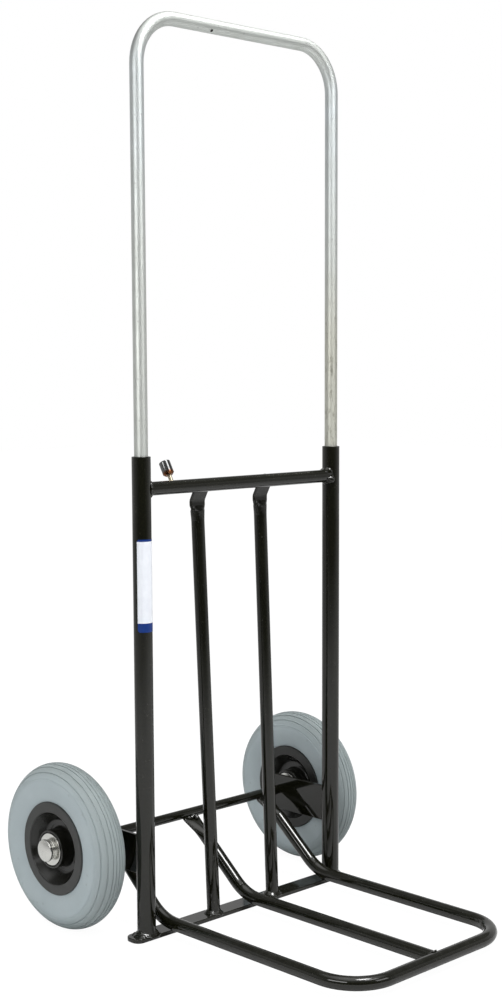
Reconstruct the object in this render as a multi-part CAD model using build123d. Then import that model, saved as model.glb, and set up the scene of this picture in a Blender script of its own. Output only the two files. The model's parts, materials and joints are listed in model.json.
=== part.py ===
from build123d import *
from math import asin, cos, radians, sin, tan
import os

# Luggage trolley in millimetres: X runs across it, Y runs to the rear and Z is up.
# The origin is midway between the uprights, on the base bar's underside, which stands on the floor.

# Base bar
bar_thickness = 5.0
bar_left_end = -180.5
bar_right_end = 174.5
bar_front = -10.3
bar_rear = 14.7
bar_end_radius = 10.0
bar_edge = 0.8

# Uprights
upright_x = 158.0
upright_od = 22.0
upright_wall = 2.0
upright_top = 567.0
tube_edge = 0.4

# Common tube of the handle, rails, toe and cross tube
tube_od = 16.0
tube_wall = 1.5
tube_radius = tube_od / 2

# Handle
grip_height = 1057.0
handle_bend = 55.0
handle_foot = 512.0
handle_travel = 430.0
lock_positions = 4
drain_hole = 3.6
drain_x = -49.0
drain_turn = 42.0
guide_diameter = 17.4
guide_length = 22.0
guide_spigot = 12.0
guide_chamfer = 1.0

# Upper cross tube
cross_height = 529.5
cross_bore = 12.0

# Rails
rail_foot_x = 50.5
rail_fold_x = 52.5
rail_lean = 22.2
rail_fold_height = 509.5
rail_fold_radius = 9.0
rail_press_length = 6.5
rail_oval_length = 12.0
rail_oval = (20.0, 13.2)
strap_width = 23.5
strap_thickness = 4.0
strap_straight = 6.0
strap_angle = 28.7
strap_length = 29.0

# Lock
lock_lean = 30.0
lock_x = -109.0
pin_body = 11.4
pin_body_ends = (-138.0, -98.0)
pin_nose = 7.0
pin_tip_x = -149.5
pin_tip_chamfer = 1.0
pin_tail = 4.0
pin_tail_end = -78.0
pin_hole = 8.0
pin_engage = 8.5
pin_withdraw = 4.0
stem_diameter = 5.0
stem_root = 2.5
stem_top = 24.0
slot_clearance = 0.5
knob_diameter = 13.4
knob_from = 15.5
knob_to = 33.0
knob_foot_chamfer = 2.2
knob_top_edge = 1.2
knob_groove_from = 22.6
knob_groove_width = 0.9
knob_groove_depth = 0.5
spring_wire = 1.2
spring_diameter = 9.0
spring_ends = (-97.6, -70.6)
spring_turns = 7
spring_stop_length = 8.0

# Axle and brackets
axle_y = 99.3
axle_height = 100.0
axle_diameter = 12.0
axle_end = 231.0
bracket_thickness = 4.0
bracket_bottom = 76.0
bracket_top = 122.5
bracket_rear = 118.0
bracket_corner = 14.0
bracket_edge = 0.6
running_fit = 0.05

# Toe
toe_x = 131.4
toe_height = 15.8
toe_front = -308.5
toe_corner = 52.0
toe_bend = 62.0
toe_arm_angle = 39.3
left_arm_angle = 41.3
arm_tube_rise = 0.4
arm_strap_drop = 3.0
arm_strap_width = 25.0
arm_strap_length = 8.0
arm_press_length = 32.0

# Wheels
wheel_x = 200.0
tyre_radius = 100.0
tyre_crown = 22.3
tyre_foot_half = 17.2
groove_angles = (6.0, 17.0, 33.0, 54.0)
groove_radius = 0.8
groove_depth = 0.9
shoulder_angle = 75.0
shoulder_depth = 0.4
rim_seat = 52.5
rim_seat_half = 13.5
rim_lip_inner = 15.5
rim_half = 19.3
rim_radius = 56.0
rim_face_inner = 44.0
rim_floor_radius = 32.0
rim_floor_half = 2.5
rim_bowl = 6.0
rim_edge = 1.6
hub_radius = 23.0
hub_half = 22.0
hub_edge = 1.0
hub_foot = 2.5
recess_radius = 20.6
recess_half = 19.2
recess_edge = 0.5
bush_radius = 10.0
washer_radius = 19.2
washer_thickness = 3.0
washer_gap = 0.3
washer_edge = 0.5
spacer_radius = 9.0
cap_foot_radius = 12.5
cap_foot = 1.8
cap_waist_radius = 10.8
cap_waist = 2.7
cap_head_radius = 13.3
cap_head = 3.6
cap_dome = 2.4
cap_foot_edge = 0.5
cap_edge = 1.2

bar_top = bar_thickness
upright_bore = upright_od - 2 * upright_wall
cut_margin = 1.0
corner_reach = 0.1
axle_axis = Axis((0, axle_y, axle_height), (1, 0, 0))


def bent_wire(corners, radii):
    """Wire through the corner points, with a round bend at each inner corner."""
    points = [Vector(*corner) for corner in corners]
    edges = []
    start = points[0]
    for before, corner, after, radius in zip(points, points[1:], points[2:], radii):
        back = (before - corner).normalized()
        ahead = (after - corner).normalized()
        half_angle = radians(back.get_angle(ahead)) / 2
        reach = radius / tan(half_angle)
        inward = (back + ahead).normalized()
        first = corner + back * reach
        middle = corner + inward * (radius / sin(half_angle) - radius)
        last = corner + ahead * reach
        edges.append(Edge.make_line(start, first))
        edges.append(Edge.make_three_point_arc(first, middle, last))
        start = last
    edges.append(Edge.make_line(start, points[-1]))
    return Wire(edges)


def bent_tube(corners, radii):
    """The common round tube, bent along the corner points."""
    path = bent_wire(corners, radii)
    ring = Circle(tube_radius) - Circle(tube_radius - tube_wall)
    return sweep(Plane(origin=path @ 0, z_dir=path % 0) * ring, path=path)


def rod_x(x_from, x_to, diameter, y, z):
    """Round bar lying along X."""
    middle = Pos((x_from + x_to) / 2, y, z)
    return middle * Rot(0, 90, 0) * Cylinder(diameter / 2, abs(x_to - x_from))


def axle_ring(x_from, x_to, radius, bore=axle_diameter):
    """Ring round the axle."""
    body = rod_x(x_from, x_to, 2 * radius, axle_y, axle_height)
    return body - rod_x(x_from - cut_margin, x_to + cut_margin, bore, axle_y, axle_height)


def pressed_tube(along, stations):
    """Length of tube that is pressed from one outline to the next; stations are places with outlines."""
    sections = [Plane(origin=place, x_dir=(1, 0, 0), z_dir=along) * outline for place, outline in stations]
    return loft([section.face() for section in sections], ruled=True)


def make_base_bar():
    middle = Pos((bar_left_end + bar_right_end) / 2, (bar_front + bar_rear) / 2, bar_thickness / 2)
    bar = middle * Box(bar_right_end - bar_left_end, bar_rear - bar_front, bar_thickness)
    bar = fillet(bar.edges().filter_by(Axis.Z), bar_end_radius)
    return fillet(bar.faces().filter_by(Axis.Z).edges(), bar_edge)


def make_upright():
    """Right upright: a tube that stands on the base bar."""
    length = upright_top - bar_top
    base = Pos(upright_x, 0, bar_top)
    tube = base * extrude(Circle(upright_od / 2) - Circle(upright_bore / 2), amount=length)
    return fillet(tube.edges().group_by(Axis.Z)[-1], tube_edge)


def upright_solid(x):
    """Full round bar in the place of an upright, for shaping what is welded to it."""
    return Pos(x, 0, upright_top / 2) * Cylinder(upright_od / 2, upright_top + 2 * cut_margin)


def lock_direction():
    """Direction of the lock stem, out of the cross tube's axis."""
    return Vector(0, sin(radians(lock_lean)), cos(radians(lock_lean)))


def make_cross_tube():
    """Tube fitted between the uprights, with a slot for the lock stem."""
    tube = rod_x(-upright_x, upright_x, tube_od, 0, cross_height)
    tube -= upright_solid(upright_x)
    tube -= upright_solid(-upright_x)
    tube -= rod_x(-upright_x, upright_x, cross_bore, 0, cross_height)
    slot_width = stem_diameter + 2 * slot_clearance
    slot_length = pin_engage + pin_withdraw + slot_width
    slot_x = lock_x + (pin_withdraw - pin_engage) / 2
    face = Plane(origin=(slot_x, 0, cross_height), x_dir=(1, 0, 0), z_dir=lock_direction())
    return tube - extrude(face * SlotOverall(slot_length, slot_width), amount=tube_od)


def lock_rod(length_from, length_to, diameter):
    """Round bar along the lock stem, between two distances from the cross tube's axis."""
    start = Vector(lock_x, 0, cross_height) + lock_direction() * length_from
    section = Plane(origin=start, z_dir=lock_direction()) * Circle(diameter / 2)
    return extrude(section, amount=length_to - length_from)


def make_rail():
    """Right rail: a leaning tube whose flat top is bent forward to the cross tube's back."""
    foot = Vector(rail_foot_x, 0, bar_top)
    fold = Vector(rail_fold_x, rail_lean, rail_fold_height)
    strap_direction = Vector(0, -sin(radians(strap_angle)), cos(radians(strap_angle)))
    top = fold + strap_direction * strap_length
    along = (fold - foot).normalized()
    strap_start = fold - along * strap_straight
    oval_place = strap_start - along * rail_press_length
    press_start = oval_place - along * rail_oval_length
    below = foot - along * tube_od
    ring = Circle(tube_radius) - Circle(tube_radius - tube_wall)
    tube = extrude(Plane(origin=below, z_dir=along) * ring, amount=(press_start - below).length)
    tube -= Pos(rail_foot_x, 0, bar_top - tube_od) * Box(2 * tube_od, 2 * tube_od, 2 * tube_od)
    flat_outline = SlotOverall(strap_width, strap_thickness)
    oval_outline = Ellipse(rail_oval[0] / 2, rail_oval[1] / 2)
    stations = (
        (press_start, Circle(tube_radius)),
        (oval_place, oval_outline),
        (strap_start, flat_outline),
    )
    press = pressed_tube(along, stations)
    strap_path = bent_wire((strap_start, fold, top), (rail_fold_radius,))
    section = Plane(origin=strap_start, x_dir=(1, 0, 0), z_dir=along)
    strap = sweep(section * flat_outline, path=strap_path)
    return tube + press + strap - rod_x(-upright_x, upright_x, tube_od, 0, cross_height)


def make_bracket():
    """Right wheel bracket: a plate from the back of the upright to the axle."""
    height = bracket_top - bracket_bottom
    middle = Pos(upright_x, bracket_rear / 2, (bracket_top + bracket_bottom) / 2)
    plate = middle * Box(bracket_thickness, bracket_rear, height)
    plate = fillet(plate.edges().filter_by(Axis.X).group_by(Axis.Y)[-1], bracket_corner)
    plate = fillet(plate.faces().filter_by(Axis.X).edges(), bracket_edge)
    plate -= upright_solid(upright_x)
    bore = axle_diameter + 2 * running_fit
    return plate - rod_x(upright_x - upright_od, upright_x + upright_od, bore, axle_y, axle_height)


def make_handle():
    """Handle loop, with lock holes in the inner side of its left leg and a drain hole low in the grip."""
    corners = (
        (-upright_x, 0, handle_foot),
        (-upright_x, 0, grip_height),
        (upright_x, 0, grip_height),
        (upright_x, 0, handle_foot),
    )
    loop = bent_tube(corners, (handle_bend, handle_bend))
    for position in range(lock_positions):
        height = cross_height + position * handle_travel / (lock_positions - 1)
        loop -= rod_x(-upright_x, -upright_x + tube_od, pin_hole, 0, height)
    drain = Pos(0, 0, -tube_radius) * Cylinder(drain_hole / 2, tube_radius)
    return loop - Pos(drain_x, 0, grip_height) * Rot(-drain_turn, 0, 0) * drain


def make_handle_guide():
    """Right handle guide: a collar under the leg with a spigot in the leg's bore."""
    collar_middle = Pos(upright_x, 0, handle_foot - guide_length / 2)
    collar = collar_middle * Cylinder(guide_diameter / 2, guide_length)
    collar = chamfer(collar.edges().group_by(Axis.Z)[0], guide_chamfer)
    spigot_middle = Pos(upright_x, 0, handle_foot + guide_spigot / 2)
    return collar + spigot_middle * Cylinder(tube_radius - tube_wall, guide_spigot)


def make_lock_pin():
    """Pin in the cross tube, with a nose for the handle's holes and a tail inside the spring."""
    pin = rod_x(pin_body_ends[0], pin_body_ends[1], pin_body, 0, cross_height)
    nose = rod_x(pin_tip_x, pin_body_ends[0], pin_nose, 0, cross_height)
    pin += chamfer(nose.edges().group_by(Axis.X)[0], pin_tip_chamfer)
    pin += rod_x(pin_body_ends[1], pin_tail_end, pin_tail, 0, cross_height)
    return pin - lock_rod(stem_root, tube_od, stem_diameter)


def make_lock_knob():
    """Turned knob with a chamfered foot, a rounded top and a groove between them."""
    knob = lock_rod(knob_from, knob_to, knob_diameter)
    rims = knob.edges().filter_by(GeomType.CIRCLE).sort_by(Axis.Z)
    knob = chamfer(rims[0], knob_foot_chamfer)
    rims = knob.edges().filter_by(GeomType.CIRCLE).sort_by(Axis.Z)
    knob = fillet(rims[-1], knob_top_edge)
    groove_to = knob_groove_from + knob_groove_width
    groove = lock_rod(knob_groove_from, groove_to, 2 * knob_diameter)
    groove -= lock_rod(knob_groove_from, groove_to, knob_diameter - 2 * knob_groove_depth)
    return knob - groove - lock_rod(0, stem_top, stem_diameter)


def make_lock_spring():
    """Coil spring between the pin and the plug, round the pin's tail."""
    length = spring_ends[1] - spring_ends[0] - spring_wire
    start = (spring_ends[0] + spring_wire / 2, 0, cross_height)
    coil = Helix(length / spring_turns, length, spring_diameter / 2, center=start, direction=(1, 0, 0))
    section = Plane(origin=coil @ 0, z_dir=coil % 0) * Circle(spring_wire / 2)
    return sweep(section, path=coil, is_frenet=True)


def arm_angle(x):
    """Slope of the toe arm at x; the left one is bent a little steeper."""
    return radians(left_arm_angle if x < 0 else toe_arm_angle)


def arm_direction(x):
    """Direction of a toe arm from the axle down to its bend."""
    return Vector(0, -cos(arm_angle(x)), -sin(arm_angle(x)))


def arm_root(x, rise):
    """Point square to a toe arm's run and at the given distance above the axle's middle."""
    above = Vector(0, -sin(arm_angle(x)), cos(arm_angle(x)))
    return Vector(x, axle_y, axle_height) + above * rise


def arm_corner(x):
    """Point where the straight lines of a toe arm and of the flat toe meet."""
    root = arm_root(x, arm_tube_rise)
    return root + arm_direction(x) * ((root.Z - toe_height) / sin(arm_angle(x)))


def arm_tube_end(x):
    """Point of a toe arm where the round tube ends and its pressed end begins."""
    return arm_root(x, arm_tube_rise) + arm_direction(x) * (arm_strap_length + arm_press_length)


def make_arm_end(x):
    """End of a toe arm, pressed flat towards its underside and fitted to the axle."""
    up = arm_direction(x) * -1
    strap_start = arm_root(x, -arm_strap_drop) - up * arm_strap_length
    flat_outline = SlotOverall(arm_strap_width, strap_thickness)
    press = pressed_tube(up, ((arm_tube_end(x), Circle(tube_radius)), (strap_start, flat_outline)))
    section = Plane(origin=strap_start, x_dir=(1, 0, 0), z_dir=up)
    strap = extrude(section * flat_outline, amount=arm_strap_length)
    return press + strap - axle_solid()


def axle_solid():
    return rod_x(-axle_end, axle_end, axle_diameter, axle_y, axle_height)


def make_toe_loop():
    """Two arms and the front bar, bent from one tube."""
    corners = (
        arm_tube_end(-toe_x),
        arm_corner(-toe_x),
        (-toe_x, toe_front, toe_height),
        (toe_x, toe_front, toe_height),
        arm_corner(toe_x),
        arm_tube_end(toe_x),
    )
    loop = bent_tube(corners, (toe_bend, toe_corner, toe_corner, toe_bend))
    return loop + make_arm_end(-toe_x) + make_arm_end(toe_x)


def make_toe_centre():
    """Middle arm, fitted to the back of the front bar."""
    corners = (arm_tube_end(0), arm_corner(0), (0, toe_front, toe_height))
    tube = bent_tube(corners, (toe_bend,)) + make_arm_end(0)
    return tube - rod_x(-toe_x, toe_x, tube_od, toe_front, toe_height)


def washer(x_from, x_to):
    """Flat ring round the axle with softened outer edges."""
    disc = rod_x(x_from, x_to, 2 * washer_radius, axle_y, axle_height)
    disc = fillet(disc.edges().filter_by(GeomType.CIRCLE), washer_edge)
    return disc - axle_solid()


def softened(outline, radius, corners):
    """Outline with its vertices at the given corners rounded."""
    places = [Vertex(*corner) for corner in corners]
    chosen = [
        vertex
        for vertex in outline.vertices()
        if min(vertex.distance_to(place) for place in places) < corner_reach
    ]
    return fillet(chosen, radius)


def revolved(outline):
    """Turn an outline of axial offset from the right wheel's middle and radius about the axle."""
    section = Plane(origin=(wheel_x, axle_y, axle_height), x_dir=(1, 0, 0), z_dir=(0, -1, 0))
    return revolve(section * outline, axis=axle_axis)


def make_tyre():
    """Solid tyre: round crown, fuller side walls down to the rim and grooves round the tread."""
    crown_centre = tyre_radius - tyre_crown
    crown_start = (-tyre_crown, crown_centre)
    crown_end = (tyre_crown, crown_centre)
    inset = tyre_crown - tyre_foot_half
    wall_radius = (inset**2 + (crown_centre - rim_radius) ** 2) / (2 * inset)
    half_turn = (crown_centre - rim_radius) / wall_radius / 2
    wall_in = tyre_crown - wall_radius * (1 - cos(half_turn))
    wall_down = crown_centre - wall_radius * sin(half_turn)
    edges = [
        ThreePointArc(crown_start, (0, tyre_radius), crown_end),
        ThreePointArc(crown_end, (wall_in, wall_down), (tyre_foot_half, rim_radius)),
        Polyline(
            (tyre_foot_half, rim_radius),
            (rim_lip_inner, rim_radius),
            (rim_seat_half, rim_seat),
            (-rim_seat_half, rim_seat),
            (-rim_lip_inner, rim_radius),
            (-tyre_foot_half, rim_radius),
        ),
        ThreePointArc((-tyre_foot_half, rim_radius), (-wall_in, wall_down), crown_start),
    ]
    outline = make_face(edges)
    grooves = [(angle, groove_depth) for angle in groove_angles] + [(shoulder_angle, shoulder_depth)]
    for angle, depth in grooves:
        groove = Pos(0, tyre_crown + groove_radius - depth) * Circle(groove_radius)
        for turn in (angle, -angle):
            outline -= Pos(0, crown_centre) * Rot(0, 0, turn) * groove
    return revolved(outline)


def make_rim():
    """Plastic rim: seat for the tyre, a bowl on both sides and a hub with a recess for the washer."""
    half = (
        (rim_seat_half, rim_seat),
        (rim_lip_inner, rim_radius),
        (rim_half, rim_radius),
        (rim_half, rim_face_inner),
        (rim_floor_half, rim_floor_radius),
        (rim_floor_half, hub_radius),
        (hub_half, hub_radius),
        (hub_half, recess_radius),
        (recess_half, recess_radius),
        (recess_half, bush_radius),
    )
    other_half = [(-u, r) for u, r in reversed(half)]
    outline = make_face(Polyline(*half, *other_half, close=True))
    rounded = (
        (rim_edge, (rim_half, rim_radius)),
        (rim_edge, (rim_half, rim_face_inner)),
        (rim_bowl, (rim_floor_half, rim_floor_radius)),
        (hub_foot, (rim_floor_half, hub_radius)),
        (hub_edge, (hub_half, hub_radius)),
        (recess_edge, (hub_half, recess_radius)),
    )
    for radius, (u, r) in rounded:
        outline = softened(outline, radius, [(u, r), (-u, r)])
    return revolved(outline)


def make_axle_cap():
    """Cap pushed onto the right end of the axle: a foot, a waist and a domed head."""
    start = recess_half + washer_gap + washer_thickness
    waist = start + cap_foot
    head = waist + cap_waist
    shoulder = head + cap_head
    end = shoulder + cap_dome
    bore_end = axle_end - wheel_x
    axle_radius = axle_diameter / 2
    dome_radius = (cap_head_radius**2 + cap_dome**2) / (2 * cap_dome)
    half_turn = asin(cap_head_radius / dome_radius) / 2
    dome_middle = (end - dome_radius * (1 - cos(half_turn)), dome_radius * sin(half_turn))
    edges = [
        Polyline(
            (end, 0),
            (bore_end, 0),
            (bore_end, axle_radius),
            (start, axle_radius),
            (start, cap_foot_radius),
            (waist, cap_foot_radius),
            (waist, cap_waist_radius),
            (head, cap_waist_radius),
            (head, cap_head_radius),
            (shoulder, cap_head_radius),
        ),
        ThreePointArc((shoulder, cap_head_radius), dome_middle, (end, 0)),
    ]
    outline = softened(make_face(edges), cap_foot_edge, [(waist, cap_foot_radius)])
    head_corners = [(head, cap_head_radius), (shoulder, cap_head_radius)]
    return revolved(softened(outline, cap_edge, head_corners))


def mirrored(shape):
    """The left counterpart of a piece on the right."""
    return mirror(shape, about=Plane.YZ)


def make_pieces():
    """All the pieces by name."""
    bush_in = wheel_x - recess_half
    bush_out = wheel_x + recess_half
    spacer_start = upright_x + bracket_thickness / 2 + washer_gap
    inner_washer_end = bush_in - washer_gap
    inner_washer_start = inner_washer_end - washer_thickness
    outer_washer_start = bush_out + washer_gap
    outer_washer_end = outer_washer_start + washer_thickness
    right = {
        "upright": make_upright(),
        "rail": make_rail(),
        "wheel_bracket": make_bracket(),
        "axle_spacer": axle_ring(spacer_start, inner_washer_start, spacer_radius),
        "inner_washer": washer(inner_washer_start, inner_washer_end),
        "outer_washer": washer(outer_washer_start, outer_washer_end),
        "axle_cap": make_axle_cap(),
        "handle_guide": make_handle_guide(),
        "tyre": make_tyre(),
        "rim": make_rim(),
        "wheel_bush": axle_ring(bush_in, bush_out, bush_radius, axle_diameter + 2 * running_fit),
    }
    pieces = {"right_" + name: shape for name, shape in right.items()}
    pieces.update({"left_" + name: mirrored(shape) for name, shape in right.items()})
    lock_hole = rod_x(-upright_x, -upright_x + upright_od, pin_hole, 0, cross_height)
    pieces["left_upright"] -= lock_hole
    pieces["base_bar"] = make_base_bar()
    pieces["upper_cross_tube"] = make_cross_tube()
    pieces["axle"] = axle_solid()
    stop_start = spring_ends[1]
    stop_end = stop_start + spring_stop_length
    pieces["lock_spring_stop"] = rod_x(stop_start, stop_end, cross_bore, 0, cross_height)
    pieces["lock_spring"] = make_lock_spring()
    pieces["lock_pin"] = make_lock_pin()
    pieces["lock_stem"] = lock_rod(stem_root, stem_top, stem_diameter)
    pieces["lock_knob"] = make_lock_knob()
    pieces["handle_loop"] = make_handle()
    pieces["toe_loop"] = make_toe_loop()
    pieces["toe_centre_tube"] = make_toe_centre()
    return pieces


os.makedirs("parts", exist_ok=True)
for name, shape in make_pieces().items():
    export_step(shape, f"parts/{name}.step")
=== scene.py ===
import json
import math
import random

import bpy
from mathutils import Matrix, Vector


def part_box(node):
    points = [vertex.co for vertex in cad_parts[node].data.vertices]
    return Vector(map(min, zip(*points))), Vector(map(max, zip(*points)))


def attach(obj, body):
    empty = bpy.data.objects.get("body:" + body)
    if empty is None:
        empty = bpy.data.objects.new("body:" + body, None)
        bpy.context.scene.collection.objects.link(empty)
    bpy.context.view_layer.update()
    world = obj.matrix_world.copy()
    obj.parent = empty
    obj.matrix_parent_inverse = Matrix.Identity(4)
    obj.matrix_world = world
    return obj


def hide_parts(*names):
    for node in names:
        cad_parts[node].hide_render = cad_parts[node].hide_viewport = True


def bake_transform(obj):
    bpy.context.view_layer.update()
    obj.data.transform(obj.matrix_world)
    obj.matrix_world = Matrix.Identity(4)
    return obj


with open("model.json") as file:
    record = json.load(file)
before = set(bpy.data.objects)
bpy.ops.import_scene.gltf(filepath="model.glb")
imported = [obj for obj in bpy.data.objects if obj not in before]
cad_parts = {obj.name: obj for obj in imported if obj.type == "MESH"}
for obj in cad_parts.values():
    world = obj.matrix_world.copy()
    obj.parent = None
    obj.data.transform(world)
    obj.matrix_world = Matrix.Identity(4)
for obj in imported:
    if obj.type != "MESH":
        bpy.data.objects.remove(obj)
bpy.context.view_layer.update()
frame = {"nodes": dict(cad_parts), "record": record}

# The trolley in metres: X runs across it, Y runs to the rear and Z is up.

# Base bar, tubes, straps and plates
UPRIGHT_X = 0.158
UPRIGHT_RADIUS = 0.011
TUBE_RADIUS = 0.008
BAR_TOP = 0.005
BAR_FRONT = -0.0103
BAR_REAR = 0.0147
RAIL_FOOT_X = 0.0505
RAIL_TOP_X = 0.0525
CROSS_HEIGHT = 0.5295
PLATE_HALF_THICKNESS = 0.002
PLATE_BOTTOM = 0.076
PLATE_TOP = 0.1225
TOE_FRONT = -0.3085
TOE_HEIGHT = 0.0158
TOE_X = 0.1314
GRIP_HEIGHT = 1.057
HANDLE_BEND = 0.055
STRAP_HALF_WIDTH = 0.01175
ARM_STRAP_HALF_WIDTH = 0.0125

# Where the paint and the zinc change along the tubes
RAIL_PRESS_BOTTOM = 0.495
RAIL_PRESS_TOP = 0.510
RAIL_PRESS_FADE = 0.012
RAIL_PRESS_REACH = 0.020
WEAR_FULL = 0.70
WEAR_TOP = 0.80
BLUE_START = 0.80
BLUE_FULL = 0.95
LEVEL_STREAK_START = GRIP_HEIGHT - 0.050
LEVEL_STREAK_FULL = GRIP_HEIGHT - 0.015

# Wheels
WHEEL_X = 0.200
AXLE_Y = 0.0993
AXLE_HEIGHT = 0.100
RIM_BOWL_RADIUS = 0.044
RIM_EDGE_FADE = 0.001
RIM_SIDE_FADE = 0.002
TREAD_RADIUS = 0.088
TREAD_FADE = 0.008

# Lock knob: its axis leans to the rear from the middle of the cross tube
KNOB_LEAN = math.radians(30)
KNOB_FOOT = 0.0155
KNOB_BROWN_FULL = KNOB_FOOT + 0.003
KNOB_BROWN_END = KNOB_FOOT + 0.006

# Label on the left upright
LABEL_BOTTOM = 0.366
LABEL_TOP = 0.473
LABEL_MIDDLE = math.radians(272)
LABEL_HALF_TURN = math.radians(75)
LABEL_THICKNESS = 0.00015
LABEL_SINK = 0.0001
LABEL_CORNER = 0.002
LABEL_TOP_BAND = 0.0025
LABEL_BOTTOM_BAND = 0.0105


# Helpers for shader nodes

def add_node(tree, kind, settings=None, values=None, links=None):
    """Node with its settings, its socket values and its incoming links."""
    made = tree.nodes.new(kind)
    for name, value in (settings or {}).items():
        setattr(made, name, value)
    for socket, value in (values or {}).items():
        made.inputs[socket].default_value = value
    for socket, source in (links or {}).items():
        tree.links.new(source, made.inputs[socket])
    return made


def feed(tree, taker, value):
    """Link a socket to the input that takes it, or set that input to a plain value."""
    if isinstance(value, bpy.types.NodeSocket):
        tree.links.new(value, taker)
    else:
        taker.default_value = value


def calculate(tree, operation, first, second=0.0):
    """Result of a sum on one or two values, each a socket or a number."""
    made = add_node(tree, "ShaderNodeMath", settings={"operation": operation})
    feed(tree, made.inputs[0], first)
    feed(tree, made.inputs[1], second)
    return made.outputs[0]


def spread(tree, value, low, high, start=0.0, end=1.0):
    """Value that goes from low to high as the given one goes from start to end."""
    made = add_node(
        tree,
        "ShaderNodeMapRange",
        settings={"clamp": True},
        values={"From Min": start, "From Max": end, "To Min": low, "To Max": high},
        links={"Value": value},
    )
    return made.outputs["Result"]


# Sockets of the Mix node, whose names repeat for each kind of value
MIX_FACTOR = 0
MIX_NUMBERS = (2, 3)
MIX_NUMBER_RESULT = 0
MIX_COLOURS = (6, 7)
MIX_COLOUR_RESULT = 2


def mix_number(tree, mask, first, second):
    """Number that goes from first to second with the mask; each is a number or a socket."""
    made = add_node(tree, "ShaderNodeMix", links={MIX_FACTOR: mask})
    for place, number in zip(MIX_NUMBERS, (first, second)):
        feed(tree, made.inputs[place], number)
    return made.outputs[MIX_NUMBER_RESULT]


def mix_colour(tree, mask, first, second):
    """Colour that goes from first to second with the mask; each is a colour or a socket."""
    made = add_node(tree, "ShaderNodeMix", settings={"data_type": "RGBA"}, links={MIX_FACTOR: mask})
    for place, colour in zip(MIX_COLOURS, (first, second)):
        if isinstance(colour, tuple):
            colour = (*colour, 1.0)
        feed(tree, made.inputs[place], colour)
    return made.outputs[MIX_COLOUR_RESULT]


def object_place(tree):
    """Place on the object, in metres."""
    return tree.nodes.new("ShaderNodeTexCoord").outputs["Object"]


def coordinates(tree):
    """X, Y and Z of the place on the object, in metres."""
    return add_node(tree, "ShaderNodeSeparateXYZ", links={"Vector": object_place(tree)}).outputs


def distance_along(tree, direction):
    """How far the place on the object lies along a direction, in metres."""
    made = add_node(
        tree,
        "ShaderNodeVectorMath",
        settings={"operation": "DOT_PRODUCT"},
        values={1: direction},
        links={0: object_place(tree)},
    )
    return made.outputs["Value"]


def axle_distance(tree):
    """Distance from the axle, in metres."""
    beside_axle = add_node(
        tree,
        "ShaderNodeMapping",
        values={"Location": (0, -AXLE_Y, -AXLE_HEIGHT), "Scale": (0, 1, 1)},
        links={"Vector": object_place(tree)},
    )
    made = add_node(
        tree,
        "ShaderNodeVectorMath",
        settings={"operation": "LENGTH"},
        links={0: beside_axle.outputs["Vector"]},
    )
    return made.outputs["Value"]


def stretched_place(tree, scale):
    """Place on the object with each axis scaled on its own."""
    made = add_node(
        tree, "ShaderNodeMapping", values={"Scale": scale}, links={"Vector": object_place(tree)}
    )
    return made.outputs["Vector"]


def noise(tree, scale, detail, roughness, place=None):
    """Soft noise; scale is a number or a socket."""
    made = add_node(
        tree,
        "ShaderNodeTexNoise",
        values={"Detail": detail, "Roughness": roughness},
        links={"Vector": place or object_place(tree)},
    )
    feed(tree, made.inputs["Scale"], scale)
    return made.outputs["Fac"]


def start_group(name, inputs, output):
    """Empty effect group with float inputs and one float output."""
    group = bpy.data.node_groups.new(name, "ShaderNodeTree")
    for socket, value in inputs.items():
        made = group.interface.new_socket(socket, in_out="INPUT", socket_type="NodeSocketFloat")
        made.default_value = value
    group.interface.new_socket(output, in_out="OUTPUT", socket_type="NodeSocketFloat")
    given = group.nodes.new("NodeGroupInput").outputs
    result = group.nodes.new("NodeGroupOutput").inputs
    return group, given, result


def use_group(tree, group, **values):
    """Effect group placed in a material with its own values."""
    made = tree.nodes.new("ShaderNodeGroup")
    made.node_tree = group
    for socket, value in values.items():
        made.inputs[socket].default_value = value
    return made.outputs[0]


# Effects that several finishes share

def make_cloud_group():
    """Broad, soft change over the surface."""
    group, given, result = start_group("cloudy change", {"Scale": 30.0, "Contrast": 1.0}, "Mask")
    cloud = noise(group, given["Scale"], 4.0, 0.55)
    centred = calculate(group, "SUBTRACT", cloud, 0.5)
    stronger = calculate(group, "MULTIPLY", centred, given["Contrast"])
    raised = calculate(group, "ADD", stronger, 0.5)
    group.links.new(spread(group, raised, 0.0, 1.0, 0.2, 0.8), result["Mask"])
    return group


def make_grain_group():
    """Fine relief of a skin: orange peel in paint, moulding grain in plastic and rubber."""
    group, given, result = start_group("fine grain", {"Scale": 700.0}, "Height")
    group.links.new(noise(group, given["Scale"], 2.0, 0.45), result["Height"])
    return group


def make_speck_group():
    """Scattered small spots; Amount is the share of cells that hold one."""
    group, given, result = start_group("small specks", {"Scale": 300.0, "Amount": 0.1}, "Mask")
    cells = add_node(
        group,
        "ShaderNodeTexVoronoi",
        settings={"feature": "F1"},
        links={"Vector": object_place(group), "Scale": given["Scale"]},
    )
    spot = spread(group, cells.outputs["Distance"], 1.0, 0.0, 0.12, 0.3)
    shade = add_node(group, "ShaderNodeSeparateColor", links={"Color": cells.outputs["Color"]})
    chosen = calculate(group, "LESS_THAN", shade.outputs[0], given["Amount"])
    group.links.new(calculate(group, "MULTIPLY", spot, chosen), result["Mask"])
    return group


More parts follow.
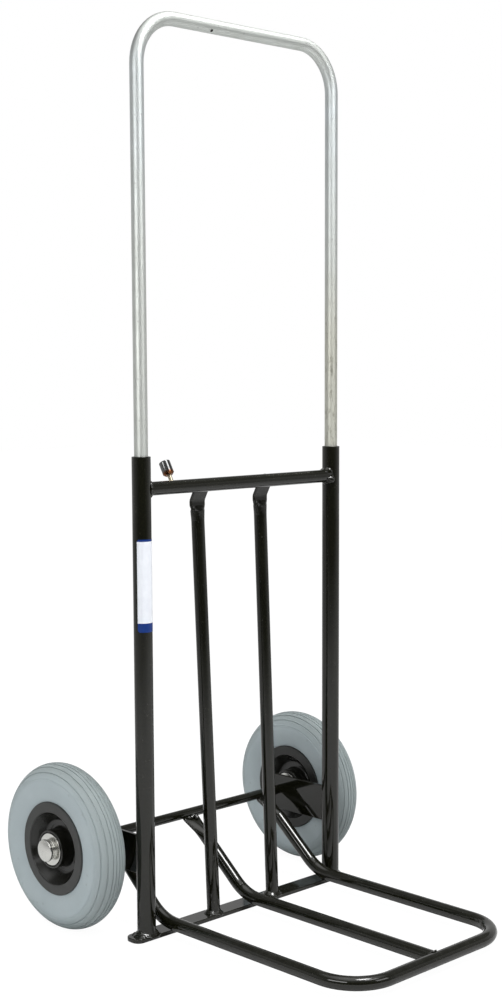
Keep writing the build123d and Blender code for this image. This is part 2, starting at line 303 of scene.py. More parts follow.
def make_dust_group():
    """Dust that has settled on what faces up."""
    group, given, result = start_group("settled dust", {"Scale": 60.0, "Amount": 0.5}, "Mask")
    normal = group.nodes.new("ShaderNodeNewGeometry").outputs["Normal"]
    facing = add_node(group, "ShaderNodeSeparateXYZ", links={"Vector": normal})
    level = spread(group, facing.outputs["Z"], 0.0, 1.0, 0.35, 1.0)
    patches = spread(group, noise(group, given["Scale"], 5.0, 0.65), 0.0, 1.0, 0.35, 0.75)
    dusty = calculate(group, "MULTIPLY", level, patches)
    group.links.new(calculate(group, "MULTIPLY", dusty, given["Amount"]), result["Mask"])
    return group


cloudy_change = make_cloud_group()
fine_grain = make_grain_group()
small_specks = make_speck_group()
settled_dust = make_dust_group()


# Finishes

def start_finish(name, **values):
    """Material with one principled shader; values are those that are the same all over."""
    finish = bpy.data.materials.new(name)
    finish.use_nodes = True
    tree = finish.node_tree
    shader = tree.nodes["Principled BSDF"]
    for socket, value in values.items():
        shader.inputs[socket.replace("_", " ")].default_value = value
    return finish, tree, shader.inputs


def connect(tree, sockets, **sources):
    """Link what changes over the surface to the shader."""
    for socket, source in sources.items():
        tree.links.new(source, sockets[socket.replace("_", " ")])


def bump(tree, height, strength, distance):
    """Normal that follows a relief of the given depth in metres."""
    made = add_node(
        tree,
        "ShaderNodeBump",
        values={"Strength": strength, "Distance": distance},
        links={"Height": height},
    )
    return made.outputs["Normal"]


def rail_press(tree):
    """Where the rails are pressed flat and their paint has come out coarser."""
    place = coordinates(tree)
    beside = calculate(tree, "ABSOLUTE", place["X"])
    on_rail = calculate(tree, "LESS_THAN", beside, RAIL_TOP_X + RAIL_PRESS_REACH)
    above = spread(tree, place["Z"], 0.0, 1.0, RAIL_PRESS_BOTTOM - RAIL_PRESS_FADE, RAIL_PRESS_BOTTOM)
    below = spread(tree, place["Z"], 1.0, 0.0, RAIL_PRESS_TOP, RAIL_PRESS_TOP + RAIL_PRESS_FADE)
    return calculate(tree, "MULTIPLY", on_rail, calculate(tree, "MULTIPLY", above, below))


def make_black_paint():
    """Gloss black powder coat with a little orange peel, dust and specks, coarser on the rails' press."""
    finish, tree, shader = start_finish("gloss black paint")
    clouds = use_group(tree, cloudy_change, Scale=24.0, Contrast=1.4)
    specks = use_group(tree, small_specks, Scale=420.0, Amount=0.05)
    dust = use_group(tree, settled_dust, Scale=70.0, Amount=0.25)
    paint = mix_colour(tree, clouds, (0.0048, 0.0050, 0.0024), (0.0068, 0.0070, 0.0036))
    dusty = mix_colour(tree, dust, paint, (0.06, 0.06, 0.056))
    speckled = mix_colour(tree, calculate(tree, "MULTIPLY", specks, 0.35), dusty, (0.12, 0.12, 0.11))
    gloss = spread(tree, clouds, 0.045, 0.085)
    coarse = calculate(tree, "ADD", gloss, calculate(tree, "MULTIPLY", rail_press(tree), 0.22))
    peel = use_group(tree, fine_grain, Scale=420.0)
    connect(
        tree, shader,
        Base_Color=speckled,
        Roughness=calculate(tree, "ADD", coarse, calculate(tree, "MULTIPLY", dust, 0.25)),
        Normal=bump(tree, peel, 0.02, 0.0004),
    )
    return finish


def along_handle(tree):
    """Direction of the handle's tube, which turns round the two bends between the legs and the grip."""
    place = coordinates(tree)
    beside = calculate(tree, "ABSOLUTE", place["X"])
    outward = calculate(tree, "SUBTRACT", beside, UPRIGHT_X - HANDLE_BEND)
    upward = calculate(tree, "SUBTRACT", place["Z"], GRIP_HEIGHT - HANDLE_BEND)
    past_bend = calculate(tree, "MAXIMUM", outward, 0.0)
    above_bend = calculate(tree, "MAXIMUM", upward, 0.0)
    sideways = calculate(tree, "MULTIPLY", past_bend, calculate(tree, "SIGN", place["X"]))
    turned = add_node(
        tree,
        "ShaderNodeCombineXYZ",
        links={"X": above_bend, "Z": calculate(tree, "MULTIPLY", sideways, -1.0)},
    )
    made = add_node(
        tree,
        "ShaderNodeVectorMath",
        settings={"operation": "NORMALIZE"},
        links={0: turned.outputs["Vector"]},
    )
    return made.outputs["Vector"]


def leg_wear(tree):
    """Where the handle's legs have rubbed in the uprights: low down, and more on the right leg."""
    place = coordinates(tree)
    low = spread(tree, place["Z"], 1.0, 0.0, WEAR_FULL, WEAR_TOP)
    side = spread(tree, place["X"], 0.1, 1.0, -UPRIGHT_X, UPRIGHT_X)
    return calculate(tree, "MULTIPLY", low, side)


def make_zinc_tube():
    """Zinc-plated tube with drawn streaks, dull patches, marks, bluish upper legs and worn lower legs."""
    finish, tree, shader = start_finish("satin zinc tube", Metallic=1.0)
    height = coordinates(tree)["Z"]
    on_grip = spread(tree, height, 0.0, 1.0, LEVEL_STREAK_START, LEVEL_STREAK_FULL)
    upright_streaks = noise(tree, 1.0, 4.0, 0.6, stretched_place(tree, (900.0, 900.0, 9.0)))
    level_streaks = noise(tree, 1.0, 4.0, 0.6, stretched_place(tree, (9.0, 900.0, 900.0)))
    streaks = mix_number(tree, on_grip, upright_streaks, level_streaks)
    streak_mask = spread(tree, streaks, 0.0, 1.0, 0.3, 0.7)
    patches = use_group(tree, cloudy_change, Scale=38.0, Contrast=2.2)
    marks = use_group(tree, small_specks, Scale=170.0, Amount=0.14)
    bright = mix_colour(tree, streak_mask, (0.635, 0.66, 0.635), (0.685, 0.71, 0.685))
    up_legs = spread(tree, height, 0.0, 1.0, BLUE_START, BLUE_FULL)
    tint = calculate(tree, "MULTIPLY", up_legs, spread(tree, on_grip, 0.6, 0.0))
    blued = mix_colour(tree, tint, bright, (0.648, 0.702, 0.733))
    dull = mix_colour(tree, calculate(tree, "MULTIPLY", patches, 0.35), blued, (0.56, 0.58, 0.55))
    marked = mix_colour(tree, calculate(tree, "MULTIPLY", marks, 0.4), dull, (0.38, 0.39, 0.38))
    wear = leg_wear(tree)
    yellowed = mix_colour(tree, calculate(tree, "MULTIPLY", wear, 0.55), marked, (0.60, 0.585, 0.48))
    rubbing = noise(tree, 1.0, 6.0, 0.7, stretched_place(tree, (260.0, 260.0, 60.0)))
    scuffs = calculate(tree, "MULTIPLY", wear, spread(tree, rubbing, 0.0, 0.8, 0.53, 0.64))
    scuffs_and_painted_shade = mix_colour(tree, scuffs, yellowed, (0.30, 0.29, 0.24))
    sheen = spread(tree, patches, 0.46, 0.52)
    rough = calculate(tree, "ADD", sheen, calculate(tree, "MULTIPLY", streak_mask, 0.03))
    connect(
        tree, shader,
        Base_Color=scuffs_and_painted_shade,
        Roughness=rough,
        Anisotropic=spread(tree, streak_mask, 0.58, 0.52),
        Tangent=along_handle(tree),
        Normal=bump(tree, streaks, 0.012, 0.0002),
    )
    return finish


def make_zinc_fittings():
    """Bright zinc plate of washers and caps, faintly clouded and scratched."""
    finish, tree, shader = start_finish("bright zinc plate", Metallic=1.0)
    clouds = use_group(tree, cloudy_change, Scale=220.0, Contrast=1.2)
    scratches = use_group(tree, small_specks, Scale=900.0, Amount=0.08)
    plate = mix_colour(tree, clouds, (0.60, 0.60, 0.57), (0.68, 0.68, 0.65))
    marked = mix_colour(tree, calculate(tree, "MULTIPLY", scratches, 0.3), plate, (0.4, 0.39, 0.36))
    connect(
        tree, shader,
        Base_Color=marked,
        Roughness=spread(tree, clouds, 0.20, 0.28),
        Normal=bump(tree, use_group(tree, fine_grain, Scale=1500.0), 0.03, 0.0002),
    )
    return finish


def make_plain_steel():
    """Uncoated steel inside the lock and on the axle."""
    finish, tree, shader = start_finish("plain steel", Metallic=1.0)
    clouds = use_group(tree, cloudy_change, Scale=160.0, Contrast=1.8)
    connect(
        tree, shader,
        Base_Color=mix_colour(tree, clouds, (0.40, 0.39, 0.37), (0.52, 0.51, 0.49)),
        Roughness=spread(tree, clouds, 0.28, 0.45),
        Normal=bump(tree, use_group(tree, fine_grain, Scale=1300.0), 0.08, 0.0002),
    )
    return finish


def make_knob_chrome():
    """Dark chrome that turns brown towards the stem."""
    finish, tree, shader = start_finish("dark knob chrome", Metallic=1.0)
    clouds = use_group(tree, cloudy_change, Scale=400.0, Contrast=1.6)
    along_knob = distance_along(tree, (0, math.sin(KNOB_LEAN), math.cos(KNOB_LEAN)))
    tube_middle = CROSS_HEIGHT * math.cos(KNOB_LEAN)
    browned = spread(
        tree, along_knob, 1.0, 0.0, tube_middle + KNOB_BROWN_FULL, tube_middle + KNOB_BROWN_END
    )
    chrome = mix_colour(tree, clouds, (0.15, 0.155, 0.155), (0.21, 0.215, 0.215))
    connect(
        tree, shader,
        Base_Color=mix_colour(tree, browned, chrome, (0.15, 0.06, 0.025)),
        Roughness=spread(tree, clouds, 0.08, 0.14),
        Normal=bump(tree, use_group(tree, fine_grain, Scale=1600.0), 0.04, 0.0002),
    )
    return finish


def make_yellow_zinc():
    """Yellow passivated zinc of the lock's stem."""
    finish, tree, shader = start_finish("yellow zinc", Metallic=1.0)
    clouds = use_group(tree, cloudy_change, Scale=350.0, Contrast=2.0)
    connect(
        tree, shader,
        Base_Color=mix_colour(tree, clouds, (0.52, 0.45, 0.32), (0.60, 0.54, 0.42)),
        Roughness=spread(tree, clouds, 0.26, 0.38),
        Normal=bump(tree, use_group(tree, fine_grain, Scale=1400.0), 0.06, 0.0002),
    )
    return finish


def make_tyre_rubber():
    """Matt pale grey rubber with moulding grain, a few specks, and painted shade that darkens the tread.
    """
    finish, tree, shader = start_finish("pale grey rubber", Specular_IOR_Level=0.35)
    clouds = use_group(tree, cloudy_change, Scale=30.0, Contrast=1.5)
    specks = use_group(tree, small_specks, Scale=130.0, Amount=0.05)
    dust = use_group(tree, settled_dust, Scale=50.0, Amount=0.2)
    rubber = mix_colour(tree, clouds, (0.388, 0.452, 0.472), (0.428, 0.492, 0.512))
    # Painted shade: the tread, the outermost band of the tyre, is darkened.
    tread = spread(
        tree, axle_distance(tree), 0.0, 0.75, TREAD_RADIUS - TREAD_FADE, TREAD_RADIUS + TREAD_FADE
    )
    tread_painted_shade = mix_colour(tree, tread, rubber, (0.24, 0.275, 0.275))
    dusty = mix_colour(tree, dust, tread_painted_shade, (0.46, 0.49, 0.48))
    marked = mix_colour(tree, calculate(tree, "MULTIPLY", specks, 0.35), dusty, (0.24, 0.27, 0.27))
    connect(
        tree, shader,
        Base_Color=marked,
        Roughness=spread(tree, clouds, 0.62, 0.76),
        Normal=bump(tree, use_group(tree, fine_grain, Scale=1100.0), 0.10, 0.0003),
    )
    return finish


def make_rim_plastic():
    """Charcoal moulded plastic: a matt flange with painted shade that makes it darker on the wheel's inner
    side, towards the frame, and a darker, glossier bowl and hub.
    """
    finish, tree, shader = start_finish("charcoal plastic")
    clouds = use_group(tree, cloudy_change, Scale=60.0, Contrast=1.5)
    dust = use_group(tree, settled_dust, Scale=90.0, Amount=0.15)
    flange = spread(
        tree, axle_distance(tree), 0.0, 1.0,
        RIM_BOWL_RADIUS - RIM_EDGE_FADE, RIM_BOWL_RADIUS + RIM_EDGE_FADE,
    )
    bowl = mix_colour(tree, clouds, (0.0055, 0.0057, 0.0038), (0.0085, 0.0087, 0.0062))
    beside = calculate(tree, "ABSOLUTE", coordinates(tree)["X"])
    # Painted shade: the flange is darker on each wheel's inner side, where the frame shades it, and paler
    # on the outer side.
    outer_side = spread(tree, beside, 0.0, 1.0, WHEEL_X - RIM_SIDE_FADE, WHEEL_X + RIM_SIDE_FADE)
    scuffs_and_painted_shade = mix_colour(tree, outer_side, (0.010, 0.0105, 0.0085), (0.030, 0.0315, 0.030))
    plastic = mix_colour(tree, flange, bowl, scuffs_and_painted_shade)
    gloss = spread(tree, clouds, 0.20, 0.28)
    connect(
        tree, shader,
        Base_Color=mix_colour(tree, dust, plastic, (0.07, 0.07, 0.068)),
        Roughness=calculate(tree, "ADD", gloss, calculate(tree, "MULTIPLY", flange, 0.2)),
        Normal=bump(tree, use_group(tree, fine_grain, Scale=1400.0), 0.06, 0.0003),
    )
    return finish


def make_moulded_plastic(name, dark, light):
    """Plain moulded plastic between two shades."""
    finish, tree, shader = start_finish(name)
    clouds = use_group(tree, cloudy_change, Scale=120.0, Contrast=1.4)
    connect(
        tree, shader,
        Base_Color=mix_colour(tree, clouds, dark, light),
        Roughness=spread(tree, clouds, 0.42, 0.55),
        Normal=bump(tree, use_group(tree, fine_grain, Scale=1300.0), 0.10, 0.0003),
    )
    return finish


def make_label_vinyl():
    """White sticker with a thin blue band at its top and a broad one at its bottom."""
    finish, tree, shader = start_finish("label vinyl", Specular_IOR_Level=0.3)
    height = coordinates(tree)["Z"]
    top_band = calculate(tree, "GREATER_THAN", height, LABEL_TOP - LABEL_TOP_BAND)
    bottom_band = calculate(tree, "LESS_THAN", height, LABEL_BOTTOM + LABEL_BOTTOM_BAND)
    clouds = use_group(tree, cloudy_change, Scale=90.0, Contrast=1.4)
    white = mix_colour(tree, clouds, (0.80, 0.83, 0.89), (0.86, 0.89, 0.94))
    blue = mix_colour(tree, clouds, (0.003, 0.028, 0.17), (0.005, 0.035, 0.20))
    bands = calculate(tree, "MAXIMUM", top_band, bottom_band)
    connect(
        tree, shader,
        Base_Color=mix_colour(tree, bands, white, blue),
        Roughness=spread(tree, clouds, 0.28, 0.38),
        Normal=bump(tree, use_group(tree, fine_grain, Scale=900.0), 0.04, 0.0002),
    )
    return finish


black_paint = make_black_paint()
finishes = {
    "black_paint": black_paint,
    "zinc_tube": make_zinc_tube(),
    "zinc_fittings": make_zinc_fittings(),
    "bare_steel": make_plain_steel(),
    "chrome": make_knob_chrome(),
    "yellow_zinc": make_yellow_zinc(),
    "tyre_rubber": make_tyre_rubber(),
    "rim_plastic": make_rim_plastic(),
    "bush_plastic": make_moulded_plastic("natural nylon", (0.66, 0.65, 0.60), (0.76, 0.75, 0.71)),
    "guide_plastic": make_moulded_plastic("black guide plastic", (0.018,) * 3, (0.03,) * 3),
}
label_vinyl = make_label_vinyl()

for part in frame["record"]["subparts"]:
    node = frame["nodes"][part["node"]]
    node.data.materials.clear()
    node.data.materials.append(finishes[part["material_slot"]])


# Pieces made here

def make_piece(name, points, faces, body, finish, crease_degrees=50):
    """Mesh piece that rides on a body and wears the given finish."""
    mesh = bpy.data.meshes.new(name)
    mesh.from_pydata(points, [], faces)
    mesh.shade_smooth()
    mesh.set_sharp_from_angle(angle=math.radians(crease_degrees))
    mesh.materials.append(finish)
    piece = bpy.data.objects.new(name, mesh)
    bpy.context.scene.collection.objects.link(piece)
    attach(piece, body)


def ring_faces(rings, around, closed_rings):
    """Quads between neighbouring rings of points, and between the last and the first where closed."""
    faces = []
    last = rings if closed_rings else rings - 1
    for ring in range(last):
        here = ring * around
        there = (ring + 1) % rings * around
        for step in range(around):
            following = (step + 1) % around
            faces.append((here + step, here + following, there + following, there + step))
    return faces


WELD_STEP = 0.0005
WELD_FEWEST_STEPS = 8
WELD_SECTION = 20
WELD_RIPPLE = 0.0021
WELD_RIPPLE_SHARE = 0.004
WELD_FLATNESS = 0.74
WELD_FACE_EDGE = 0.3
WELD_HIDDEN_SHARE = 0.6
WELD_END_SHARE = 0.3
WELD_SINK = 0.0002
CLOSED_WELD_WAVES = range(2, 7)
OPEN_WELD_WAVES = range(1, 4)


def steps_for(length):
    """Count of points along a weld of the given length."""
    return max(WELD_FEWEST_STEPS, round(length / WELD_STEP))


def weld_section():
    """Outline of a fillet weld round its corner: a nearly flat face outward and a hidden root."""
    outline = []
    for step in range(WELD_SECTION):
        turn = math.tau * step / WELD_SECTION
        reach = WELD_HIDDEN_SHARE
        if math.cos(turn) > WELD_FACE_EDGE:
            reach = min(1.0, WELD_FLATNESS / math.cos(turn))
        outline.append((reach * math.cos(turn), reach * math.sin(turn)))
    return outline


def make_weld(name, path, outward, sizes, lumpiness, body, seed, closed):
    """Hand weld along a path of points: a lumpy, faintly rippled fillet with its leg at each point."""
    chance = random.Random(seed)
    outline = weld_section()
    count = len(path)
    ripple_phase = chance.uniform(0, math.tau)
    wave_counts = CLOSED_WELD_WAVES if closed else OPEN_WELD_WAVES
    waves = [(wave, chance.uniform(0, math.tau)) for wave in wave_counts]
    points = []
    run = 0.0
    for place in range(count):
        before = path[place - 1] if closed or place else path[0]
        after = path[(place + 1) % count] if closed or place < count - 1 else path[-1]
        along = (after - before).normalized()
        face = (outward[place] - along * outward[place].dot(along)).normalized()
        side = along.cross(face)
        run += (path[place] - path[place - 1]).length if place else 0.0
        share = math.tau * place / count
        lump = sum(math.sin(wave * share + phase) for wave, phase in waves) / len(waves)
        ripple = math.sin(math.tau * run / WELD_RIPPLE + ripple_phase)
        size = sizes[place] * (1 + lumpiness * lump + WELD_RIPPLE_SHARE * ripple)
        if not closed:
            legs_from_end = min(place, count - 1 - place) * WELD_STEP / sizes[place]
            fullness = math.sin(min(1.0, legs_from_end) * math.pi / 2)
            size *= WELD_END_SHARE + (1 - WELD_END_SHARE) * fullness
        for out, across in outline:
            points.append(path[place] + (face * out + side * across) * size)
    faces = ring_faces(count, WELD_SECTION, closed)
    if not closed:
        faces.append(tuple(range(WELD_SECTION)))
        faces.append(tuple(reversed(range((count - 1) * WELD_SECTION, count * WELD_SECTION))))
    make_piece(name, points, faces, body, black_paint)


def make_foot_weld(name, x, radius, leg, flank, lumpiness, seed):
    """Weld round the foot of a tube on the base bar, fuller by the flank share at the tube's two sides."""
    reach = radius - WELD_SINK
    count = steps_for(math.tau * reach)
    path = []
    outward = []
    sizes = []
    for step in range(count):
        turn = math.tau * step / count
        away = Vector((math.cos(turn), math.sin(turn), 0))
        depth = max(BAR_FRONT, min(BAR_REAR, reach * away.y))
        path.append(Vector((x + reach * away.x, depth, BAR_TOP - WELD_SINK)))
        outward.append(away + Vector((0, 0, 1)))
        sizes.append(leg * (1 + flank * away.x**2))
    make_weld(name, path, outward, sizes, lumpiness, "frame", seed, closed=True)


def make_end_weld(seed):
    """Second run of weld outside the left upright's foot, towards the end of the base bar."""
    gap = 0.0035
    half_turn = math.radians(50)
    leg = 0.0036
    lumpiness = 0.2
    reach = UPRIGHT_RADIUS + gap
    count = steps_for(2 * half_turn * reach)
    path = []
    outward = []
    for step in range(count):
        turn = math.pi + half_turn * (2 * step / (count - 1) - 1)
        away = Vector((math.cos(turn), math.sin(turn), 0))
        path.append(Vector((-UPRIGHT_X, 0, BAR_TOP - WELD_SINK)) + away * reach)
        outward.append(away + Vector((0, 0, 1)))
    sizes = [leg] * count
    make_weld("left_upright_end_weld", path, outward, sizes, lumpiness, "frame", seed, closed=False)


def make_cross_weld(name, side, leg, lumpiness, seed):
    """Weld where the cross tube's end fits round an upright."""
    reach = TUBE_RADIUS - WELD_SINK
    count = steps_for(math.tau * reach)
    path = []
    outward = []
    for step in range(count):
        turn = math.tau * step / count
        y = reach * math.cos(turn)
        x = UPRIGHT_X - math.sqrt((UPRIGHT_RADIUS - WELD_SINK) ** 2 - y**2)
        path.append(Vector((side * x, y, CROSS_HEIGHT + reach * math.sin(turn))))
        outward.append(Vector((-side, math.cos(turn), math.sin(turn))))
    make_weld(name, path, outward, [leg] * count, lumpiness, "frame", seed, closed=True)


def make_straight_weld(name, start, end, outward, leg, lumpiness, body, seed):
    """Straight run of weld from start to end that faces outward."""
    start = Vector(start)
    end = Vector(end)
    count = steps_for((end - start).length)
    path = [start.lerp(end, step / (count - 1)) for step in range(count)]
    facing = [Vector(outward)] * count
    make_weld(name, path, facing, [leg] * count, lumpiness, body, seed, closed=False)


def make_toe_weld(seed):
    """Weld where the toe's middle tube meets the front bar."""
    leg = 0.0018
    lumpiness = 0.4
    blend = 0.003
    reach = TUBE_RADIUS - WELD_SINK
    count = steps_for(math.tau * reach)
    path = []
    outward = []
    for step in range(count):
        turn = math.tau * step / count
        x = reach * math.cos(turn)
        behind = math.sqrt(x**2 + blend**2)
        path.append(Vector((x, TOE_FRONT + behind, TOE_HEIGHT + reach * math.sin(turn))))
        outward.append(Vector((math.cos(turn), 1, 2 * math.sin(turn))))
    make_weld("toe_middle_weld", path, outward, [leg] * count, lumpiness, "toe", seed, closed=True)


UPRIGHT_FOOT_WELD = {"leg": 0.0040, "flank": 0.7, "lumpiness": 0.12}
RAIL_FOOT_WELD = {"leg": 0.0040, "flank": 0.3, "lumpiness": 0.15}
CROSS_TUBE_WELDS = {
    "left": {"leg": 0.0034, "lumpiness": 0.15},
    "right": {"leg": 0.0040, "lumpiness": 0.7},
}
BRACKET_WELD = {"leg": 0.0026, "lumpiness": 0.4}
BRACKET_WELD_PLATE_GAP = 0.0004
BRACKET_WELD_UPRIGHT_GAP = 0.0002
BRACKET_WELD_INSET = 0.002
RAIL_TOP_WELD = {"leg": 0.0014, "lumpiness": 0.4}
RAIL_TOP_WELD_Y = 0.0073
RAIL_TOP_WELD_HEIGHT = 0.5353


def make_frame_welds(side, word):
    """Welds of one half of the frame: feet, cross tube, wheel bracket and the rail's strap."""
    make_foot_weld(
        f"{word}_upright_foot_weld", side * UPRIGHT_X, UPRIGHT_RADIUS, seed=11 + side, **UPRIGHT_FOOT_WELD
    )
    make_foot_weld(
        f"{word}_rail_foot_weld", side * RAIL_FOOT_X, TUBE_RADIUS, seed=21 + side, **RAIL_FOOT_WELD
    )
    make_cross_weld(f"{word}_cross_tube_weld", side, seed=31 + side, **CROSS_TUBE_WELDS[word])
    for face, face_word in ((-1, "inner"), (1, "outer")):
        x = side * (UPRIGHT_X + face * (PLATE_HALF_THICKNESS + BRACKET_WELD_PLATE_GAP))
        y = UPRIGHT_RADIUS + BRACKET_WELD_UPRIGHT_GAP
        make_straight_weld(
            f"{word}_bracket_{face_word}_weld",
            (x, y, PLATE_BOTTOM + BRACKET_WELD_INSET),
            (x, y, PLATE_TOP - BRACKET_WELD_INSET),
            (side * face, 1, 0),
            body="frame",
            seed=41 + 2 * side + face,
            **BRACKET_WELD,
        )
    make_straight_weld(
        f"{word}_rail_top_weld",
        (side * RAIL_TOP_X - STRAP_HALF_WIDTH, RAIL_TOP_WELD_Y, RAIL_TOP_WELD_HEIGHT),
        (side * RAIL_TOP_X + STRAP_HALF_WIDTH, RAIL_TOP_WELD_Y, RAIL_TOP_WELD_HEIGHT),
        (0, 1, 1),
        body="frame",
        seed=51 + side,
        **RAIL_TOP_WELD,
    )


# Runs of weld between a toe arm's flat end and the axle, placed from the arm's middle
ARM_WELD_HALF = ARM_STRAP_HALF_WIDTH - 0.002
STITCH_FACING = (-0.35, -0.6, 0.71)
ARM_WELDS = {
    "upper": {
        "start": (-ARM_WELD_HALF, 0.0956, 0.0953),
        "end": (ARM_WELD_HALF, 0.0956, 0.0953),
        "outward": (0, -0.6, 1),
        "leg": 0.0026,
        "lumpiness": 0.5,
        "seed": 9530,
    },
    "lower": {
        "start": (-ARM_WELD_HALF, 0.0998, 0.0938),
        "end": (ARM_WELD_HALF, 0.0998, 0.0938),
        "outward": (0, -0.6, -1),
        "leg": 0.0022,
        "lumpiness": 0.5,
        "seed": 9380,
    },
    "slanting": {
        "start": (-0.0045, 0.0928, 0.0945),
        "end": (0.0040, 0.0928, 0.0987),
        "outward": STITCH_FACING,
        "leg": 0.0020,
        "lumpiness": 0.2,
        "seed": 200,
    },
    "short": {
        "start": (0.0050, 0.0945, 0.0974),
        "end": (0.0050, 0.0880, 0.0922),
        "outward": STITCH_FACING,
        "leg": 0.0028,
        "lumpiness": 0.2,
        "seed": 280,
    },
}


def make_arm_welds(x, word):
    """Welds that hold one toe arm to the axle."""
    middle = Vector((x, 0, 0))
    for place, weld in ARM_WELDS.items():
        make_straight_weld(
            f"{word}_arm_{place}_weld",
            middle + Vector(weld["start"]),
            middle + Vector(weld["end"]),
            weld["outward"],
            weld["leg"],
            weld["lumpiness"],
            body="toe",
            seed=weld["seed"] + round(1000 * x),
        )


for side, word in ((-1, "left"), (1, "right")):
    make_frame_welds(side, word)
for x, word in ((-TOE_X, "left"), (0, "middle"), (TOE_X, "right")):
    make_arm_welds(x, word)
make_toe_weld(seed=61)
make_end_weld(seed=71)


def make_label():
    """Thin sticker wrapped round the front of the left upright, with rounded corners."""
    columns = 48
    rows = 60
    outer = UPRIGHT_RADIUS + LABEL_THICKNESS
    inner = UPRIGHT_RADIUS - LABEL_SINK
    half_width = LABEL_HALF_TURN * outer
    half_height = (LABEL_TOP - LABEL_BOTTOM) / 2
    middle = (LABEL_TOP + LABEL_BOTTOM) / 2
    points = []
    for row in range(rows + 1):
        up = (2 * row / rows - 1) * half_height
        past = max(0.0, abs(up) - (half_height - LABEL_CORNER))
        inset = LABEL_CORNER - math.sqrt(max(0.0, LABEL_CORNER**2 - past**2))
        for column in range(columns + 1):
            across = (2 * column / columns - 1) * (half_width - inset)
            turn = LABEL_MIDDLE + across / outer
            points.append((outer * math.cos(turn) - UPRIGHT_X, outer * math.sin(turn), middle + up))
    front = len(points)
    shrink = inner / outer
    for x, y, z in points[:front]:
        points.append(((x + UPRIGHT_X) * shrink - UPRIGHT_X, y * shrink, z))
    wide = columns + 1
    faces = []
    for row in range(rows):
        for column in range(columns):
            first = row * wide + column
            quad = (first, first + 1, first + wide + 1, first + wide)
            faces.append(quad)
            faces.append(tuple(front + place for place in reversed(quad)))
    edge = list(range(columns)) + [row * wide + columns for row in range(rows)]
    edge += [rows * wide + column for column in range(columns, 0, -1)]
    edge += [row * wide for row in range(rows, 0, -1)]
    for place, here in enumerate(edge):
        there = edge[(place + 1) % len(edge)]
        faces.append((here, front + here, front + there, there))
    make_piece("upright_label", points, faces, "frame", label_vinyl, crease_degrees=60)


make_label()


def make_spring():
    """Coil spring of the lock, copied from its part, which is then hidden."""
    coil = frame["nodes"]["lock_spring"].data.copy()
    spring = bpy.data.objects.new("lock_spring_coil", coil)
    bpy.context.scene.collection.objects.link(spring)
    pin_end, stop_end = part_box("lock_spring")
    stop_end.yz = pin_end.yz
    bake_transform(spring)
    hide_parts("lock_spring")


make_spring()


# Studio: camera, world, floor, wall and lamps

CAMERA_PLACE = (-1.33674, -1.39261, 0.66973)
CAMERA_YAW = math.radians(-44.22)
CAMERA_PITCH = math.radians(-6.55)
CAMERA_ROLL = math.radians(-0.23)
CAMERA_LENS = 57.64
CAMERA_SHIFT = (-0.0017, 0.049)


def make_camera():
    """Camera at the photograph's place, fitted to a picture 502 by 1000, whose size is not set here."""
    data = bpy.data.cameras.new("camera")
    data.sensor_width = 36.0
    data.lens = CAMERA_LENS
    data.shift_x, data.shift_y = CAMERA_SHIFT
    data.clip_start = 0.05
    data.clip_end = 100.0
    camera = bpy.data.objects.new("camera", data)
    heading = Matrix.Rotation(CAMERA_YAW, 4, "Z")
    tilt = Matrix.Rotation(math.pi / 2 + CAMERA_PITCH, 4, "X")
    lean = Matrix.Rotation(CAMERA_ROLL, 4, "Z")
    camera.matrix_world = Matrix.Translation(CAMERA_PLACE) @ heading @ tilt @ lean
    bpy.context.scene.collection.objects.link(camera)
    bpy.context.scene.camera = camera


WHITE = (1, 1, 1, 1)
WORLD_LIGHT = 0.68
SKY_LOW = 0.22
SKY_HIGH = 1.9
SKY_LOW_RISE = 0.78
SKY_HIGH_RISE = 0.97


def make_world():
    """White to the camera, and softer as a light; mirrors see a sky that brightens upwards."""
    world = bpy.data.worlds.new("white studio")
    world.use_nodes = True
    tree = world.node_tree
    tree.nodes.clear()
    lighting = add_node(
        tree, "ShaderNodeBackground", values={"Color": WHITE, "Strength": WORLD_LIGHT}
    )
    path = tree.nodes.new("ShaderNodeLightPath").outputs
    mirrored = calculate(tree, "MAXIMUM", path["Is Glossy Ray"], path["Is Transmission Ray"])
    direction = tree.nodes.new("ShaderNodeTexCoord").outputs["Generated"]
    rise = add_node(tree, "ShaderNodeSeparateXYZ", links={"Vector": direction}).outputs["Z"]
    sky = spread(tree, rise, SKY_LOW, SKY_HIGH, SKY_LOW_RISE, SKY_HIGH_RISE)
    white = calculate(tree, "MAXIMUM", path["Is Camera Ray"], calculate(tree, "MULTIPLY", mirrored, sky))
    backdrop = add_node(
        tree, "ShaderNodeBackground", values={"Color": WHITE}, links={"Strength": white}
    )
    seen = calculate(tree, "MAXIMUM", path["Is Camera Ray"], mirrored)
    mixed = add_node(
        tree,
        "ShaderNodeMixShader",
        links={0: seen, 1: lighting.outputs[0], 2: backdrop.outputs[0]},
    )
    add_node(tree, "ShaderNodeOutputWorld", links={"Surface": mixed.outputs[0]})
    bpy.context.scene.world = world


def start_stage_finish(name):
    """Material of the studio with an empty node tree."""
    finish = bpy.data.materials.new(name)
    finish.use_nodes = True
    finish.node_tree.nodes.clear()
    return finish, finish.node_tree


def stage_mesh(name, points, faces, finish):
    """Mesh of the studio, which isn't part of the trolley."""
    mesh = bpy.data.meshes.new(name)
    mesh.from_pydata(points, [], faces)
    mesh.materials.append(finish)
    made = bpy.data.objects.new(name, mesh)
    bpy.context.scene.collection.objects.link(made)
    return made


DARK_SIDE = math.radians(-128)


def dark_side_distance(tree):
    """Distance in metres from the middle of the studio towards its dark side, behind the camera."""
    return distance_along(tree, (math.cos(DARK_SIDE), math.sin(DARK_SIDE), 0))


FLOOR_GLOW = 0.955
FLOOR_SEEN = 0.10
FLOOR_PALE = 0.74
FLOOR_DARK = 0.16
FLOOR_DIM_START = 0.9
FLOOR_DIM_END = 3.2
FLOOR_HALF = 9.0
FLOOR_HEIGHT = -0.0005


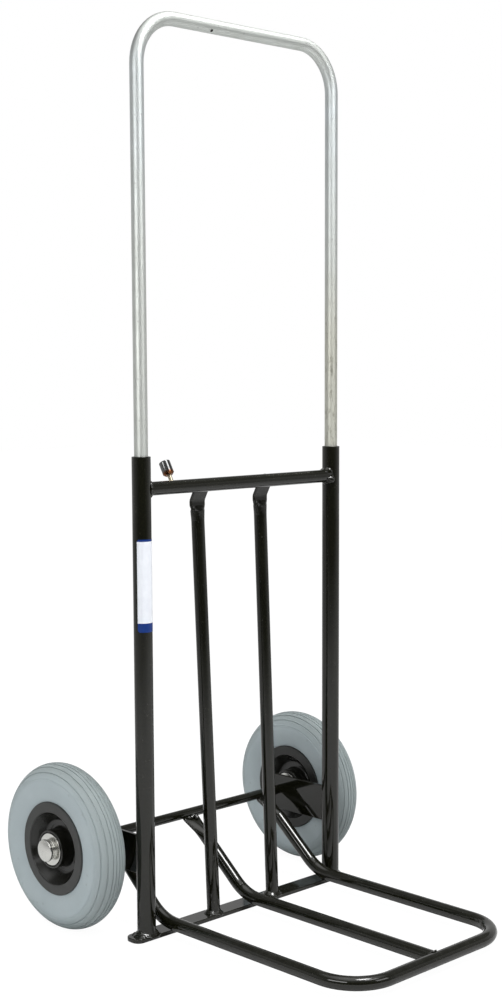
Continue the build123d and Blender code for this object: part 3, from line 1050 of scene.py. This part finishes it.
def make_floor():
    """Pale floor that dims towards the dark side; white to the camera apart from the object's shadow."""
    finish, tree = start_stage_finish("pale floor")
    path = tree.nodes.new("ShaderNodeLightPath").outputs
    tone = spread(
        tree, dark_side_distance(tree), FLOOR_PALE, FLOOR_DARK, FLOOR_DIM_START, FLOOR_DIM_END
    )
    shade = mix_number(tree, path["Is Camera Ray"], tone, FLOOR_SEEN)
    card = add_node(tree, "ShaderNodeBsdfDiffuse", links={"Color": shade})
    glow = calculate(tree, "MULTIPLY", path["Is Camera Ray"], FLOOR_GLOW)
    lift = add_node(tree, "ShaderNodeEmission", values={"Color": WHITE}, links={"Strength": glow})
    total = add_node(tree, "ShaderNodeAddShader", links={0: card.outputs[0], 1: lift.outputs[0]})
    add_node(tree, "ShaderNodeOutputMaterial", links={"Surface": total.outputs[0]})
    corners = [
        (across * FLOOR_HALF, along * FLOOR_HALF, FLOOR_HEIGHT)
        for across, along in ((-1, -1), (1, -1), (1, 1), (-1, 1))
    ]
    stage_mesh("floor", corners, [(0, 1, 2, 3)], finish)


WALL_RADIUS = 5.2
WALL_HEIGHT = 3.0
WALL_DARK = 0.07
WALL_PALE = 0.65
WALL_DIM_START = -0.3 * WALL_RADIUS
WALL_DIM_END = 0.85 * WALL_RADIUS
WALL_STEPS = 96


def make_wall():
    """Round studio wall, dark behind the camera and pale behind the object; the camera doesn't see it."""
    finish, tree = start_stage_finish("studio wall")
    grey = spread(tree, dark_side_distance(tree), WALL_PALE, WALL_DARK, WALL_DIM_START, WALL_DIM_END)
    paint = add_node(tree, "ShaderNodeEmission", values={"Color": WHITE}, links={"Strength": grey})
    add_node(tree, "ShaderNodeOutputMaterial", links={"Surface": paint.outputs[0]})
    points = []
    for height in (0.0, WALL_HEIGHT):
        for step in range(WALL_STEPS):
            turn = math.tau * step / WALL_STEPS
            points.append((WALL_RADIUS * math.cos(turn), WALL_RADIUS * math.sin(turn), height))
    faces = ring_faces(2, WALL_STEPS, closed_rings=False)
    wall = stage_mesh("studio_wall", points, faces, finish)
    wall.visible_camera = False


def make_lamp(name, place, target, width, height, watts):
    """Soft rectangular lamp that faces its target; the camera doesn't see it."""
    data = bpy.data.lights.new(name, "AREA")
    data.shape = "RECTANGLE"
    data.size = width
    data.size_y = height
    data.energy = watts
    lamp = bpy.data.objects.new(name, data)
    away = Vector(place) - Vector(target)
    turn = away.to_track_quat("Z", "Y").to_matrix().to_4x4()
    lamp.matrix_world = Matrix.Translation(place) @ turn
    lamp.visible_camera = False
    bpy.context.scene.collection.objects.link(lamp)


make_camera()
make_world()
make_floor()
make_wall()
make_lamp("left panel", (-1.60, -0.40, 1.00), target=(0, 0, 0.9), width=1.2, height=0.46, watts=10)
make_lamp("right panel", (0.60, -2.10, 1.40), target=(0, 0, 0.9), width=1.1, height=0.6, watts=7)
make_lamp("top lamp", (0.05, -0.74, 2.20), target=(0.05, -0.2, 0.1), width=0.7, height=0.4, watts=25)
make_lamp("small lamp", (0.10, -1.30, 1.95), target=(-0.1, 0, 0.55), width=0.9, height=0.3, watts=4.5)

bpy.context.scene.view_settings.view_transform = "Standard"
